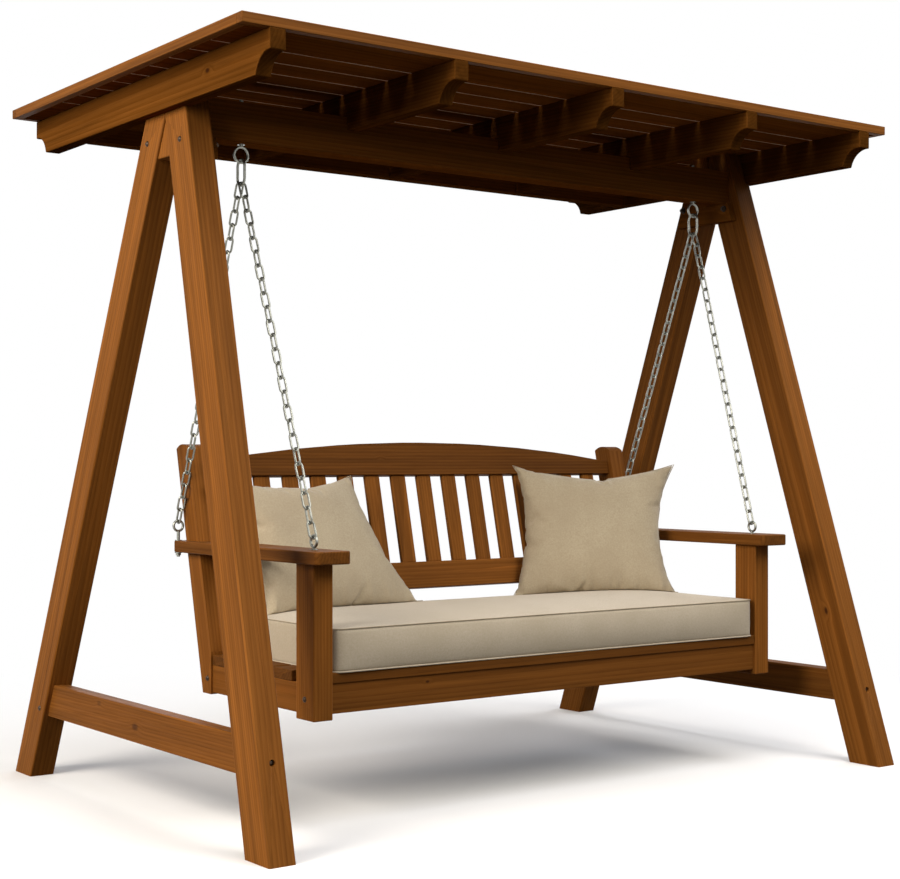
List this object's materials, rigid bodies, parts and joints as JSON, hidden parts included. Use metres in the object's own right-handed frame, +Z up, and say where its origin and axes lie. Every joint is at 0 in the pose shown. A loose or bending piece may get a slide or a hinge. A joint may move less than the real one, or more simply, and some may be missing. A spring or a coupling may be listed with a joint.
{
  "type": "canopy swing",
  "caption": "Timber garden swing: leaning A-frames carry a beam and slatted canopy, and a cushioned bench with arched back hangs on chains",
  "frame": {"origin": "centre of the feet on the floor, at the bottom centre of the whole swing", "axes": "+X along the roof and the bench towards the sitter's left hand, -Y the way a sitter faces, +Z up"},
  "size_m": [2.192, 1.4519, 1.897],
  "materials": {
    "stained_wood": "satin",
    "cushion_cloth": "matte",
    "galvanised_steel": "satin",
    "dark_bolt": "satin"
  },
  "bodies": {
    "frame": {"apex_bolts": "dark_bolt", "front_roof_board": "stained_wood", "left_apex_wedge": "stained_wood", "left_beam_cleat": "stained_wood", "left_eye_bolt": "galvanised_steel", "left_front_leg": "stained_wood", "left_rear_leg": "stained_wood", "left_stretcher": "stained_wood", "main_beam": "stained_wood", "rafter_1": "stained_wood", "rafter_2": "stained_wood", "rafter_3": "stained_wood", "rafter_4": "stained_wood", "rafter_5": "stained_wood", "rear_purlin": "stained_wood", "rear_roof_board": "stained_wood", "right_apex_wedge": "stained_wood", "right_beam_cleat": "stained_wood", "right_eye_bolt": "galvanised_steel", "right_front_leg": "stained_wood", "right_rear_leg": "stained_wood", "right_stretcher": "stained_wood", "roof_front_edge": "stained_wood", "roof_left_edge": "stained_wood", "roof_rear_edge": "stained_wood", "roof_right_edge": "stained_wood", "roof_slats": "stained_wood", "stretcher_bolts": "dark_bolt"},
    "swing": {"back_lower_rail": "stained_wood", "back_slats": "stained_wood", "back_top_rail": "stained_wood", "front_seat_rail": "stained_wood", "left_armrest": "stained_wood", "left_back_post": "stained_wood", "left_connector": "galvanised_steel", "left_front_arm_eye": "galvanised_steel", "left_front_chain": "galvanised_steel", "left_front_post": "stained_wood", "left_rear_arm_eye": "galvanised_steel", "left_rear_chain": "galvanised_steel", "left_scatter_cushion": "cushion_cloth", "left_side_rail": "stained_wood", "rear_seat_rail": "stained_wood", "right_armrest": "stained_wood", "right_back_post": "stained_wood", "right_connector": "galvanised_steel", "right_front_arm_eye": "galvanised_steel", "right_front_chain": "galvanised_steel", "right_front_post": "stained_wood", "right_rear_arm_eye": "galvanised_steel", "right_rear_chain": "galvanised_steel", "right_scatter_cushion": "cushion_cloth", "right_side_rail": "stained_wood", "seat_bearer_1": "stained_wood", "seat_bearer_2": "stained_wood", "seat_boards": "stained_wood", "seat_bolts": "dark_bolt", "seat_cushion": "cushion_cloth"}
  },
  "joints": [
    {"name": "seat_swing", "type": "hinge", "parent": "frame", "child": "swing", "pos_m": [0, -0.1455, 1.663], "axis": [1, 0, 0], "range_deg": [-20, 20]}
  ]
}
